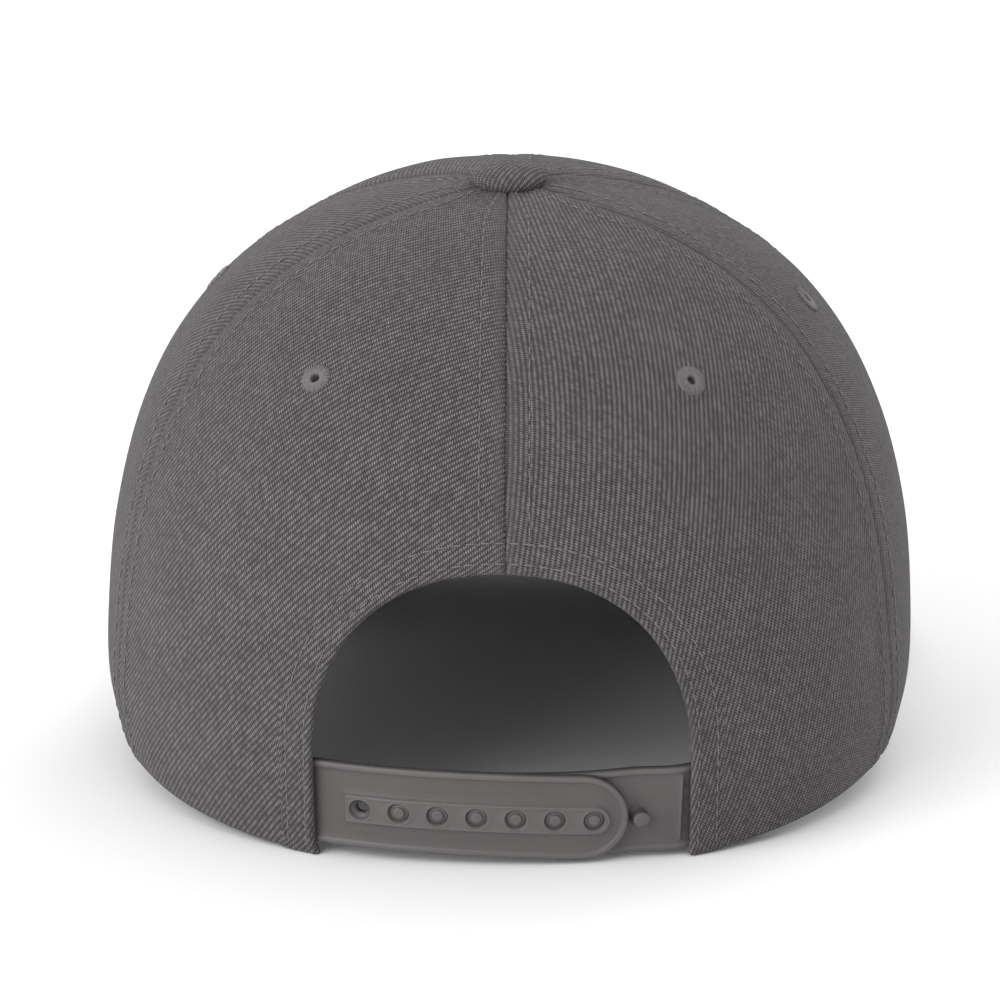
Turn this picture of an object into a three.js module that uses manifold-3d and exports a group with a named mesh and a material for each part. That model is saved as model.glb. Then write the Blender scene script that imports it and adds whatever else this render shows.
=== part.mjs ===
// A snapback cap at rest on a flat surface: a six-panel crown with an arch cut in its back, a peak,
// a covered button, six sewn eyelets, a sweatband and an adjuster of two moulded straps.
// Millimetres, +Z up, +Y from the adjuster towards the peak.
import * as THREE from "three";
import { mergeVertices } from "three/addons/utils/BufferGeometryUtils.js";
import Module from "manifold-3d";

const wasm = await Module();
wasm.setup();

const degrees = THREE.MathUtils.degToRad;

// Gap between pieces that touch on the real cap
const clearance = 0.3;

// Crown: angles run from the middle of the back, and the rim plane rises towards the peak
const crownHalfWidth = 91;
const crownBackReach = 97.5;
const crownFrontReach = 99;
const crownHeight = 125;
const crownTilt = degrees(6);
const rimRise = 5;
const planExponent = 2.14;
const clothWall = 1.6;
const panelPuff = 0.8;
const backSeam = degrees(1.05);
const sideSeam = degrees(70);
const frontSeam = degrees(118);

// Outline of the crown from rim to top, as shares of its height, half width and two reaches
const crownSections = [
  { height: 0.0, width: 0.976, back: 0.98, front: 0.985 },
  { height: 0.1, width: 1.0, back: 0.992, front: 1.0 },
  { height: 0.22, width: 0.996, back: 1.0, front: 1.0 },
  { height: 0.38, width: 0.973, back: 0.985, front: 0.985 },
  { height: 0.54, width: 0.919, back: 0.93, front: 0.945 },
  { height: 0.69, width: 0.823, back: 0.828, front: 0.832 },
  { height: 0.82, width: 0.678, back: 0.677, front: 0.675 },
  { height: 0.92, width: 0.469, back: 0.483, front: 0.484 },
  { height: 0.98, width: 0.216, back: 0.255, front: 0.27 },
  { height: 1.0, width: 0.0, back: 0.0, front: 0.0 },
];

// Arch in the back: straight sides up to the spring line, then a squared half ellipse
const archCentre = 0.9;
const archHalfWidth = 39.9;
const archSpring = 26;
const archHeight = 66.6;
const archExponent = 2.2;

// Button on the top, over the open ends of the panels, with a straight skirt under its dome
const buttonRadius = 8.6;
const buttonHeight = 4;
const buttonSkirtShare = 0.25;
const buttonFootShare = 0.94;
const crownTopOpening = 4;

// Eyelets: a sewn ring round a hole, with a sleeve through the cloth
const eyeletRadius = 3.75;
const eyeletHoleRadius = 1;
const eyeletSleeveRadius = 2.2;
const eyeletProud = 0.5;
const eyeletUpCrown = 0.635;
const eyeletAngles = {
  back: { left: degrees(-34.7), right: degrees(36.6) },
  side: { left: degrees(-97), right: degrees(88) },
  front: { left: degrees(-149), right: degrees(149) },
};

// Peak
const peakReach = 67;
const peakEndReach = 3;
const peakWall = 3;
const peakSlope = 0.33;
const peakArch = 0.0029;
const peakFan = degrees(40);
const peakAboveRim = 2.6;
const peakCornerPower = 2.6;
const peakEdgePower = 0.6;

// Adjuster: the left strap has the holes and lies outside, the right one has the studs. A strap's
// middle line has a height over the middle of the back, a slope towards the right and a droop
const strapLines = {
  left: { height: 12.75, slope: -0.037, droop: 0.001 },
  right: { height: 12.57, slope: -0.0155, droop: 0 },
};
const strapHeight = 20;
const strapWall = 1.6;
const strapLean = degrees(5);
const strapTuck = 9;
const strapInset = 2 * clearance;
const strapEndTurn = degrees(82);
const holePitch = 8.5;
const holeCount = 7;
const holeRadius = 2;
const endMargin = 7.6;
const railHeight = 6.8;
const railProud = 0.8;
const railMargin = 3.5;
const studGap = 0.5;
const studTaper = 0.8;
const studProud = 0.4;
const engagedStuds = 6;
const freeStudPitch = 10.3;

// Sweatband, inside the rim and behind the strap ends
const bandWall = 1.2;
const bandHeight = 32;
const bandLift = 1.2;
const bandSetBack = 5;
const bandEase = degrees(12);

// Mesh steps
const panelRows = 16;
const strapStep = 4.2;
const capSteps = 6;
const archSteps = 28;
const domeSteps = 6;

const clothColour = 0x6b6767;
const moulding = { color: 0x686461, roughness: 0.55, metalness: 0 };

// Catmull-Rom value of one column of the section table at a share from 0 (rim) to 1 (top)
function sectionValue(column, share) {
  const last = crownSections.length - 1;
  const place = THREE.MathUtils.clamp(share, 0, 1) * last;
  const row = Math.min(Math.floor(place), last - 1);
  const mirrored = column === "height" ? 1 : -1;
  const before = row > 0
    ? crownSections[row - 1][column]
    : 2 * crownSections[0][column] - crownSections[1][column];
  const after = row < last - 1
    ? crownSections[row + 2][column]
    : mirrored * crownSections[last - 1][column];
  const from = crownSections[row][column];
  const to = crownSections[row + 1][column];
  const t = place - row;
  return from + 0.5 * t * (to - before
    + t * (2 * before - 5 * from + 4 * to - after + t * (3 * from - before - 3 * to + after)));
}

// How far across its panel an angle lies, from 0 at one seam to 1 at the next
function panelShare(angle) {
  const place = Math.atan2(Math.sin(angle), Math.cos(angle));
  const turn = Math.abs(place);
  if (turn < sideSeam) return (place - backSeam) / (Math.sign(place - backSeam) * sideSeam - backSeam);
  if (turn < frontSeam) return (turn - sideSeam) / (frontSeam - sideSeam);
  return (turn - frontSeam) / (Math.PI - frontSeam);
}

function signedPower(value, exponent) {
  return Math.sign(value) * Math.abs(value) ** exponent;
}

// A point of the crown's mean surface, without the puff of the panels
function meanPoint(angle, share) {
  const power = 2 / planExponent;
  const across = Math.sin(angle);
  const along = -Math.cos(angle);
  const reach = along < 0
    ? crownBackReach * sectionValue("back", share)
    : crownFrontReach * sectionValue("front", share);
  return new THREE.Vector3(
    crownHalfWidth * sectionValue("width", share) * signedPower(across, power),
    reach * signedPower(along, power),
    crownHeight * sectionValue("height", share) + rimRise * (1 + along) / 2 * (1 - share) ** 2,
  );
}

function crownNormal(angle, share) {
  const step = 0.004;
  const low = Math.max(share - step, 0);
  const high = Math.min(share + step, 1);
  const round = meanPoint(angle + step, share).sub(meanPoint(angle - step, share));
  const up = meanPoint(angle, high).sub(meanPoint(angle, low));
  return round.cross(up).normalize();
}

// A point of the crown, depth millimetres inside its outer face
function crownPoint(angle, share, depth = 0) {
  const puff = panelPuff * Math.sin(Math.PI * panelShare(angle)) * Math.sin(Math.PI * share);
  return meanPoint(angle, share).addScaledVector(crownNormal(angle, share), puff - depth);
}

// Share of the section table at a height above the rim
function shareAtHeight(height) {
  let low = 0;
  let high = 1;
  for (let pass = 0; pass < 30; pass += 1) {
    const middle = (low + high) / 2;
    if (crownHeight * sectionValue("height", middle) < height) low = middle;
    else high = middle;
  }
  return (low + high) / 2;
}

// Angle from the middle of the back where the crown is a given distance to the side
function angleAtSide(side, height) {
  const halfWidth = crownHalfWidth * sectionValue("width", shareAtHeight(height));
  return Math.sign(side) * Math.asin(Math.min(Math.abs(side) / halfWidth, 1) ** (planExponent / 2));
}

// Closed solid between two grids of points, face(column, row, side) with side 0 outside and 1 inside
function closedSheet(columns, rows, face) {
  const positions = [];
  const indices = [];
  const at = (column, row, side) => (side * (rows + 1) + row) * (columns + 1) + column;
  for (let side = 0; side < 2; side += 1) {
    for (let row = 0; row <= rows; row += 1) {
      for (let column = 0; column <= columns; column += 1) {
        positions.push(...face(column, row, side).toArray());
      }
    }
  }
  const quad = (a, b, c, d) => indices.push(a, b, c, a, c, d);
  for (let row = 0; row < rows; row += 1) {
    for (let column = 0; column < columns; column += 1) {
      quad(at(column, row, 0), at(column + 1, row, 0), at(column + 1, row + 1, 0), at(column, row + 1, 0));
      quad(at(column, row, 1), at(column, row + 1, 1), at(column + 1, row + 1, 1), at(column + 1, row, 1));
    }
    quad(at(0, row, 1), at(0, row, 0), at(0, row + 1, 0), at(0, row + 1, 1));
    quad(at(columns, row, 0), at(columns, row, 1), at(columns, row + 1, 1), at(columns, row + 1, 0));
  }
  for (let column = 0; column < columns; column += 1) {
    quad(at(column, 0, 1), at(column + 1, 0, 1), at(column + 1, 0, 0), at(column, 0, 0));
    quad(at(column, rows, 0), at(column + 1, rows, 0), at(column + 1, rows, 1), at(column, rows, 1));
  }
  const geometry = new THREE.BufferGeometry();
  geometry.setAttribute("position", new THREE.Float32BufferAttribute(positions, 3));
  geometry.setIndex(indices);
  return geometry;
}

function asSolid(geometry) {
  const bare = geometry.clone();
  bare.deleteAttribute("normal");
  bare.deleteAttribute("uv");
  const merged = mergeVertices(bare, 1e-4);
  return new wasm.Manifold(new wasm.Mesh({
    numProp: 3,
    vertProperties: new Float32Array(merged.getAttribute("position").array),
    triVerts: new Uint32Array(merged.getIndex().array),
  }));
}

function asGeometry(solid) {
  const mesh = solid.getMesh();
  const geometry = new THREE.BufferGeometry();
  geometry.setAttribute("position", new THREE.BufferAttribute(mesh.vertProperties, 3));
  geometry.setIndex(new THREE.BufferAttribute(mesh.triVerts, 1));
  return geometry;
}

// A copy of a geometry made round the Y axis, moved to a place with Y along a direction
function stand(geometry, place, direction) {
  const turn = new THREE.Quaternion().setFromUnitVectors(new THREE.Vector3(0, 1, 0), direction);
  const copy = geometry.clone().applyQuaternion(turn);
  return copy.translate(place.x, place.y, place.z);
}

function standOnCrown(geometry, angle, share) {
  return stand(geometry, crownPoint(angle, share), crownNormal(angle, share));
}

// Ring swept round the Y axis from a closed profile of [radius, height] pairs
function ring(profile, segments) {
  const points = [...profile, profile[0]].map(([radius, height]) => new THREE.Vector2(radius, height));
  return new THREE.LatheGeometry(points, segments);
}

const topShare = (() => {
  let share = 1;
  while (meanPoint(Math.PI / 2, share).x < crownTopOpening) share -= 0.001;
  return share;
})();

// Half of the gap at a seam, as an angle
function seamInset(angle, share) {
  const step = 0.01;
  const span = meanPoint(angle + step, share).distanceTo(meanPoint(angle - step, share)) / (2 * step);
  return clearance / 2 / span;
}

function panelGeometry(from, to, columns) {
  return closedSheet(columns, panelRows, (column, row, side) => {
    const share = topShare * row / panelRows;
    const start = from + seamInset(from, share);
    const end = to - seamInset(to, share);
    return crownPoint(start + (end - start) * column / columns, share, side * clothWall);
  });
}

// Prism through the back of the crown with the outline of the arch
function archPrism() {
  const belowRim = 10;
  const outline = new THREE.Shape();
  outline.moveTo(archHalfWidth, -belowRim);
  for (let step = 0; step <= archSteps; step += 1) {
    const turn = Math.PI * step / archSteps;
    outline.lineTo(
      archHalfWidth * signedPower(Math.cos(turn), 2 / archExponent),
      archSpring + (archHeight - archSpring) * Math.sin(turn) ** (2 / archExponent),
    );
  }
  outline.lineTo(-archHalfWidth, -belowRim);
  const prism = new THREE.ExtrudeGeometry(outline, { depth: crownBackReach, bevelEnabled: false });
  prism.rotateX(Math.PI / 2);
  prism.translate(archCentre, -crownBackReach / 3, 0);
  return prism;
}

function eyeletHole(angle) {
  const hole = new THREE.CylinderGeometry(
    eyeletSleeveRadius + clearance,
    eyeletSleeveRadius + clearance,
    8 * clothWall,
    16,
  );
  return standOnCrown(hole, angle, eyeletUpCrown);
}

function eyeletGeometry(angle) {
  const shoulder = (eyeletRadius - eyeletHoleRadius) / 3;
  const profile = [
    [eyeletHoleRadius, -clothWall - clearance],
    [eyeletSleeveRadius, -clothWall - clearance],
    [eyeletSleeveRadius, clearance],
    [eyeletRadius, clearance * 0.8],
    [eyeletRadius - shoulder / 2, clearance + eyeletProud * 0.7],
    [eyeletHoleRadius + shoulder, clearance + eyeletProud],
    [eyeletHoleRadius, clearance + eyeletProud * 0.5],
  ];
  return standOnCrown(ring(profile, 14), angle, eyeletUpCrown);
}

function buttonGeometry() {
  const profile = [new THREE.Vector2(0, 0), new THREE.Vector2(buttonRadius * buttonFootShare, 0)];
  for (let step = 0; step <= domeSteps; step += 1) {
    const turn = Math.PI / 2 * step / domeSteps;
    const rise = buttonSkirtShare + (1 - buttonSkirtShare) * Math.sin(turn);
    profile.push(new THREE.Vector2(buttonRadius * Math.cos(turn), buttonHeight * rise));
  }
  profile[profile.length - 1].x = 0;
  const dome = new THREE.LatheGeometry(profile, 24);
  dome.rotateX(Math.PI / 2);
  dome.translate(0, 0, crownHeight + clearance);
  return dome;
}

// Peak: a curved board that starts at the rim of the two front panels
function peakGeometry() {
  const columns = 28;
  const rows = 8;
  const rimShare = shareAtHeight(peakAboveRim);
  const drop = (point) => -peakSlope * point.y - peakArch * point.x ** 2;
  return closedSheet(columns, rows, (column, row, side) => {
    const spread = 2 * column / columns - 1;
    const angle = Math.PI - spread * (Math.PI - frontSeam);
    const rim = crownPoint(angle, rimShare, -clearance);
    const rounding = (1 - Math.abs(spread) ** peakCornerPower) ** peakEdgePower;
    const reach = peakEndReach + (peakReach - peakEndReach) * rounding;
    const heading = spread * peakFan;
    const point = rim.clone();
    point.x += Math.sin(heading) * reach * row / rows;
    point.y += Math.cos(heading) * reach * row / rows;
    point.z += drop(point) - drop(rim) - side * peakWall;
    return point;
  });
}

// Frame of a strap at a distance along it from the arch's left edge: a point of its middle line, the
// straight line up its face and the normal of that face
function strapFrame(line, along) {
  const side = archCentre - archHalfWidth + along;
  const height = line.height + line.slope * side - line.droop * side ** 2;
  const angle = angleAtSide(side, height);
  const share = shareAtHeight(height);
  const outward = crownNormal(angle, share).setZ(0).normalize();
  const round = new THREE.Vector3(0, 0, 1).cross(outward);
  const normal = outward.clone().applyAxisAngle(round, strapLean);
  const up = normal.clone().cross(round);
  return { middle: meanPoint(angle, share), up, normal };
}

function strapPoint(line, along, above, depth) {
  const { middle, up, normal } = strapFrame(line, along);
  return middle.addScaledVector(up, above).addScaledVector(normal, -depth);
}

// Columns of a strap or rail: [along, half height], with a round end where an end's radius is given
function strapColumns(from, to, halfHeight, roundEnd) {
  const straightEnd = to - roundEnd * Math.sign(to - from);
  const steps = Math.max(2, Math.ceil(Math.abs(straightEnd - from) / strapStep));
  const columns = [];
  for (let step = 0; step <= steps; step += 1) {
    columns.push([from + (straightEnd - from) * step / steps, halfHeight]);
  }
  for (let step = 1; step <= capSteps && roundEnd > 0; step += 1) {
    const turn = strapEndTurn * step / capSteps;
    const reach = roundEnd * Math.sin(turn) * Math.sign(to - from);
    columns.push([straightEnd + reach, halfHeight * Math.cos(turn)]);
  }
  return columns;
}

// Bent plate over a strap's columns, from depthAt(along) inside the crown and a wall thick
function strapPlate(line, columns, depthAt, wall) {
  const rows = 4;
  const flip = columns[0][0] > columns[1][0];
  const list = flip ? [...columns].reverse() : columns;
  return closedSheet(list.length - 1, rows, (column, row, side) => {
    const [along, halfHeight] = list[column];
    return strapPoint(line, along, halfHeight * (2 * row / rows - 1), depthAt(along) + side * wall);
  });
}

// A geometry made round the Y axis, set on the row of holes of the left strap
function standOnHoles(geometry, along, depth) {
  const { middle, normal } = strapFrame(strapLines.left, along);
  return stand(geometry, middle.addScaledVector(normal, -depth), normal);
}

const leftStrapDepth = clothWall + strapInset;
const underLeftStrap = leftStrapDepth + strapWall + clearance;
const archWidth = 2 * archHalfWidth;
const holeSpan = holePitch * (holeCount - 1);
const firstHole = (archWidth - holeSpan - freeStudPitch) / 2;
const lastHole = firstHole + holeSpan;
const leftStrapEnd = lastHole + endMargin;
const studRadius = holeRadius - studGap;

// The right strap comes out level with the left one at its end of the arch
function rightStrapDepth(along) {
  const ease = THREE.MathUtils.smoothstep(along, leftStrapEnd + clearance, archWidth);
  return THREE.MathUtils.lerp(underLeftStrap, leftStrapDepth, ease);
}

function leftStrapGeometry() {
  const columns = strapColumns(-strapTuck, leftStrapEnd, strapHeight / 2, strapHeight / 2);
  let solid = asSolid(strapPlate(strapLines.left, columns, () => leftStrapDepth, strapWall));
  const railColumns = strapColumns(
    firstHole - railMargin,
    lastHole + railMargin,
    railHeight / 2,
    railHeight / 2,
  );
  const railDepth = leftStrapDepth - railProud;
  const rail = strapPlate(strapLines.left, railColumns, () => railDepth, railProud + strapWall / 2);
  solid = solid.add(asSolid(rail));
  for (let hole = 0; hole < holeCount; hole += 1) {
    const cutter = new THREE.CylinderGeometry(holeRadius, holeRadius, 8 * strapWall, 14);
    solid = solid.subtract(asSolid(standOnHoles(cutter, firstHole + hole * holePitch, leftStrapDepth)));
  }
  return asGeometry(solid);
}

function rightStrapGeometry() {
  const firstStud = firstHole + holePitch * (holeCount - engagedStuds);
  const columns = strapColumns(
    archWidth + strapTuck,
    firstStud - endMargin,
    strapHeight / 2,
    strapHeight / 2,
  );
  let solid = asSolid(strapPlate(strapLines.right, columns, rightStrapDepth, strapWall));
  for (let stud = 0; stud <= engagedStuds; stud += 1) {
    const engaged = stud < engagedStuds;
    const along = engaged ? firstStud + stud * holePitch : lastHole + freeStudPitch;
    const foot = rightStrapDepth(along) + strapWall / 2;
    const top = rightStrapDepth(along) - underLeftStrap + leftStrapDepth - railProud - studProud;
    const pin = new THREE.CylinderGeometry(studRadius * studTaper, studRadius, foot - top, 12);
    pin.translate(0, (foot - top) / 2, 0);
    solid = solid.add(asSolid(standOnHoles(pin, along, foot)));
  }
  return asGeometry(solid);
}

// Sweatband, from one side of the arch round the front to the other, stepping in behind the strap ends
function sweatbandGeometry() {
  const columns = 52;
  const rows = 3;
  const reach = archHalfWidth + archCentre;
  const start = angleAtSide(reach + bandSetBack, bandLift);
  const tuckEnd = angleAtSide(reach + strapTuck + 2 * clearance, bandLift);
  const besideStraps = leftStrapDepth + strapWall + strapInset;
  const againstCloth = clothWall + clearance;
  return closedSheet(columns, rows, (column, row, side) => {
    const angle = start + (2 * Math.PI - 2 * start) * column / columns;
    const fromArch = Math.min(angle, 2 * Math.PI - angle);
    const ease = THREE.MathUtils.smoothstep(fromArch, tuckEnd, tuckEnd + bandEase);
    const depth = THREE.MathUtils.lerp(besideStraps, againstCloth, ease) + side * bandWall;
    return crownPoint(angle, shareAtHeight(bandLift + (bandHeight - bandLift) * row / rows), depth);
  });
}

function cloth() {
  return new THREE.MeshStandardMaterial({ color: clothColour, roughness: 0.9, metalness: 0 });
}

function moulded() {
  return new THREE.MeshStandardMaterial(moulding);
}

const cap = new THREE.Group();

function addPiece(name, geometry, material) {
  const piece = geometry.clone().rotateX(crownTilt);
  piece.computeVertexNormals();
  const mesh = new THREE.Mesh(piece, material);
  mesh.name = name;
  cap.add(mesh);
}

const panels = [
  { name: "back", left: [-sideSeam, backSeam], right: [backSeam, sideSeam], columns: 12 },
  { name: "side", left: [-frontSeam, -sideSeam], right: [sideSeam, frontSeam], columns: 8 },
  { name: "front", left: [-Math.PI, -frontSeam], right: [frontSeam, Math.PI], columns: 10 },
];
for (const { name, columns, ...edges } of panels) {
  for (const hand of ["left", "right"]) {
    const [start, end] = edges[hand];
    const eyeletAngle = eyeletAngles[name][hand];
    let solid = asSolid(panelGeometry(start, end, columns)).subtract(asSolid(eyeletHole(eyeletAngle)));
    if (name === "back") solid = solid.subtract(asSolid(archPrism()));
    addPiece(`panel_${name}_${hand}`, asGeometry(solid), cloth());
    addPiece(`eyelet_${name}_${hand}`, eyeletGeometry(eyeletAngle), cloth());
  }
}
addPiece("button", buttonGeometry(), cloth());
addPiece("peak", peakGeometry(), cloth());
addPiece("strap_left", leftStrapGeometry(), moulded());
addPiece("strap_right", rightStrapGeometry(), moulded());
addPiece("sweatband", sweatbandGeometry(), cloth());

// The part's origin is the middle of its box, on the surface that it rests on
const box = new THREE.Box3().setFromObject(cap);
const middle = box.getCenter(new THREE.Vector3());
cap.position.set(-middle.x, -middle.y, -box.min.z);
cap.updateMatrixWorld(true);

export default cap;
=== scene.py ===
"""Snapback cap at rest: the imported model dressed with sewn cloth, thread and moulded straps.

Shapes are worked out in millimetres in the crown's own frame, whose rim plane is level, and
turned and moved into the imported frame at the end.
"""
import math
import bpy
import numpy as np
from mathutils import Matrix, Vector
from mathutils.geometry import delaunay_2d_cdt


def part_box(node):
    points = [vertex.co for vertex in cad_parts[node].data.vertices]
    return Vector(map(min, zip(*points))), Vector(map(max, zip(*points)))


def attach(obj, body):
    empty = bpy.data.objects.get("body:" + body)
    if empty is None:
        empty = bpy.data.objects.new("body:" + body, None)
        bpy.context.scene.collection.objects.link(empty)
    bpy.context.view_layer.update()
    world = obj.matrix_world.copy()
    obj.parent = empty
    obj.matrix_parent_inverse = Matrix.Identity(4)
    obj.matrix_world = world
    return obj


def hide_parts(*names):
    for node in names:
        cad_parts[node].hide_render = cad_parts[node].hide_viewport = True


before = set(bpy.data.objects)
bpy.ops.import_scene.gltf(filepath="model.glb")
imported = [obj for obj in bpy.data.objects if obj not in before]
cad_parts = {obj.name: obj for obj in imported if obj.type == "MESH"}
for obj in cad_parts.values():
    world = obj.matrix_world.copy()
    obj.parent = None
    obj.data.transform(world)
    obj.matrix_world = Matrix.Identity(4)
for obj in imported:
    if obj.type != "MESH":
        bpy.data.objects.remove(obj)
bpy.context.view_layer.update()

MM = 0.001

# Crown, with the sizes of the part's source
CROWN_HALF_WIDTH = 91
CROWN_BACK_REACH = 97.5
CROWN_FRONT_REACH = 99
CROWN_HEIGHT = 125
CROWN_TILT = math.radians(6)
RIM_RISE = 5
PLAN_EXPONENT = 2.14
PANEL_PUFF = 0.8
CLOTH_WALL = 1.6
CLEARANCE = 0.3
BACK_SEAM = math.radians(1.05)
SIDE_SEAM = math.radians(70)
FRONT_SEAM = math.radians(118)
TOP_SHARE = 0.978
HEIGHT, WIDTH, BACK, FRONT = range(4)
SECTIONS = np.array([
    (0.00, 0.976, 0.980, 0.985),
    (0.10, 1.000, 0.992, 1.000),
    (0.22, 0.996, 1.000, 1.000),
    (0.38, 0.973, 0.985, 0.985),
    (0.54, 0.919, 0.930, 0.945),
    (0.69, 0.823, 0.828, 0.832),
    (0.82, 0.678, 0.677, 0.675),
    (0.92, 0.469, 0.483, 0.484),
    (0.98, 0.216, 0.255, 0.270),
    (1.00, 0.000, 0.000, 0.000),
])

# Shallow dents of the cloth: height, waves round the crown, waves up it, phase
DENTS = (
    (0.26, 3, 0.8, 0.4),
    (0.18, 5, -1.3, 2.1),
    (0.10, 8, 2.1, 4.0),
    (0.05, 13, -2.9, 1.2),
)

# Arch in the back, and the folded band sewn round it
ARCH_CENTRE = 0.9
ARCH_HALF_WIDTH = 39.9
ARCH_SPRING = 26
ARCH_HEIGHT = 66.6
ARCH_EXPONENT = 2.2
ARCH_STITCHES = (2.1, 6.1)
ARCH_BAND = 8.0
LEG_SPREAD = (0.6, 0.9)
FOOT_SPREAD = (1.25, 0.4)

# Seams: radius of the panels' rolled rim, depth of each kind of valley, stitches beside it
EDGE = 1.0
SEAM_DIP = 0.3
SIDE_DIP = 0.14
FRONT_DIP = -0.18
SEAM_STITCH = 5.3
STITCH_PITCH = 3.1
STITCH_LENGTH = 2.3
THREAD_RADIUS = 0.17

# Button and eyelets
BUTTON_RADIUS = 8.6
BUTTON_HEIGHT = 4
EYELET_RADIUS = 3.75
EYELET_HOLE = 1.0
EYELET_SHARE = 0.635

# Peak
PEAK_REACH = 67
PEAK_END_REACH = 3
PEAK_WALL = 3
PEAK_SLOPE = 0.33
PEAK_ARCH = 0.0029
PEAK_FAN = math.radians(40)
PEAK_ABOVE_RIM = 2.6
PEAK_ROWS = 8

# Straps: height of the middle line over the middle of the back, slope to the right and droop
STRAP_LINES = {"left": (12.6, -0.0335, 0.00112), "right": (11.6, -0.01, 0.0)}
STRAP_HEIGHT = 20
STRAP_WALL = 1.6
STRAP_LEAN = math.radians(5)
STRAP_TUCK = 9
HOLE_PITCH = 8.5
HOLE_COUNT = 7
END_MARGIN = 7.6
RAIL_HEIGHT = 6.8
RAIL_PROUD = 0.8
RAIL_MARGIN = 3.5
RAIL_DROP = 0.35
ENGAGED_STUDS = 6
FREE_STUD_PITCH = 10.3
ARCH_WIDTH = 2 * ARCH_HALF_WIDTH
HOLE_SPAN = HOLE_PITCH * (HOLE_COUNT - 1)
FIRST_HOLE = (ARCH_WIDTH - HOLE_SPAN - FREE_STUD_PITCH) / 2
LAST_HOLE = FIRST_HOLE + HOLE_SPAN
LEFT_STRAP_END = LAST_HOLE + END_MARGIN
LEFT_STRAP_DEPTH = CLOTH_WALL + 2 * CLEARANCE
UNDER_LEFT_STRAP = LEFT_STRAP_DEPTH + STRAP_WALL + CLEARANCE

# Sweatband
BAND_WALL = 1.2
BAND_HEIGHT = 32
BAND_LIFT = 1.2
BAND_SET_BACK = 5

# Twill of the cloth: pitch of its lines, and their turn from each panel's middle line
TWILL_PITCH = 1.11
TWILL_TURN = math.radians(27)
TICK_PITCH = 0.58
CLOTH_TURN = {"left": math.radians(14), "right": math.radians(-7)}
CLOTH_HUE = (1.06, 0.975, 0.99)
STRAP_HUE = (1.06, 0.98, 0.98)


def smooth(value, low, high):
    """0 below low, 1 above high and an S curve between them."""
    t = np.clip((value - low) / (high - low), 0, 1)
    return t * t * (3 - 2 * t)


def bell(value, middle, width):
    """1 at the middle, falling off to both sides."""
    return np.exp(-((value - middle) / width) ** 2)


def signed_power(value, exponent):
    return np.sign(value) * np.abs(value) ** exponent


def ring_angles(count):
    return np.arange(count) * 2 * math.pi / count


def path_length(path):
    """Length along a path from its first point to each one."""
    return np.concatenate([[0], np.cumsum(np.linalg.norm(np.diff(path, axis=0), axis=1))])


def rows_length(points):
    """Length along each row of a grid of points, from its first column."""
    steps = np.linalg.norm(np.diff(points, axis=1), axis=-1)
    return np.concatenate([np.zeros((len(points), 1)), np.cumsum(steps, axis=1)], axis=1)


def along_path(at, distance, path):
    """Points of a path at lengths along it."""
    return np.stack([np.interp(at, distance, column) for column in path.T], axis=-1)


def half_turn(steps):
    return np.radians(np.linspace(0, 180, steps))


def section(column, share):
    """Catmull-Rom value of a column of the section table, share from 0 at the rim to 1 at the top."""
    values = SECTIONS[:, column]
    beyond = values[-2] if column == HEIGHT else -values[-2]
    padded = np.concatenate([[2 * values[0] - values[1]], values, [beyond]])
    place = np.clip(share, 0, 1) * (len(values) - 1)
    row = np.minimum(np.asarray(place).astype(int), len(values) - 2)
    t = place - row
    before, start, end, after = (padded[row + step] for step in range(4))
    cubic = 3 * start - before - 3 * end + after
    return start + 0.5 * t * (end - before + t * (2 * before - 5 * start + 4 * end - after + t * cubic))


def mean_point(angle, share):
    """Crown surface without puff or dents; the angle runs from the middle of the back."""
    angle, share = np.broadcast_arrays(np.asarray(angle, float), np.asarray(share, float))
    power = 2 / PLAN_EXPONENT
    across, along = np.sin(angle), -np.cos(angle)
    reach = np.where(
        along < 0,
        CROWN_BACK_REACH * section(BACK, share),
        CROWN_FRONT_REACH * section(FRONT, share),
    )
    x = CROWN_HALF_WIDTH * section(WIDTH, share) * signed_power(across, power)
    y = reach * signed_power(along, power)
    z = CROWN_HEIGHT * section(HEIGHT, share) + RIM_RISE * (1 + along) / 2 * (1 - share) ** 2
    return np.stack([x, y, z], axis=-1)


def unit(vectors):
    return vectors / np.maximum(np.linalg.norm(vectors, axis=-1, keepdims=True), 1e-12)


def crown_normal(angle, share):
    step = 0.004
    share = np.asarray(share, float)
    around = mean_point(np.asarray(angle) + step, share) - mean_point(np.asarray(angle) - step, share)
    up = mean_point(angle, np.minimum(share + step, 1)) - mean_point(angle, np.maximum(share - step, 0))
    return unit(np.cross(around, up))


def panel_share(angle):
    """How far across its panel an angle lies, from 0 to 1."""
    place = (np.asarray(angle) + math.pi) % (2 * math.pi) - math.pi
    turn = np.abs(place)
    back = np.abs(place - BACK_SEAM) / (SIDE_SEAM - np.sign(place - BACK_SEAM) * BACK_SEAM)
    side = (turn - SIDE_SEAM) / (FRONT_SEAM - SIDE_SEAM)
    front = (turn - FRONT_SEAM) / (math.pi - FRONT_SEAM)
    return np.where(turn < SIDE_SEAM, back, np.where(turn < FRONT_SEAM, side, front))


def dents(angle, share):
    total = sum(
        height * np.sin(around * angle + 2 * math.pi * up * share + phase)
        for height, around, up, phase in DENTS
    )
    return total * smooth(share, 0.03, 0.25) * (1 - smooth(share, 0.8, 0.97))


def smooth_point(angle, share, lift=0.0):
    """Crown surface with the puff of its panels, lift millimetres outside it."""
    puff = PANEL_PUFF * np.sin(np.pi * panel_share(angle)) * np.sin(np.pi * np.clip(share, 0, 1))
    rise = np.asarray(puff + lift)
    return mean_point(angle, share) + crown_normal(angle, share) * rise[..., None]


def crown_point(angle, share, lift=0.0):
    """The same surface with the shallow dents of soft cloth."""
    return smooth_point(angle, share, dents(angle, share) + lift)


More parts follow.
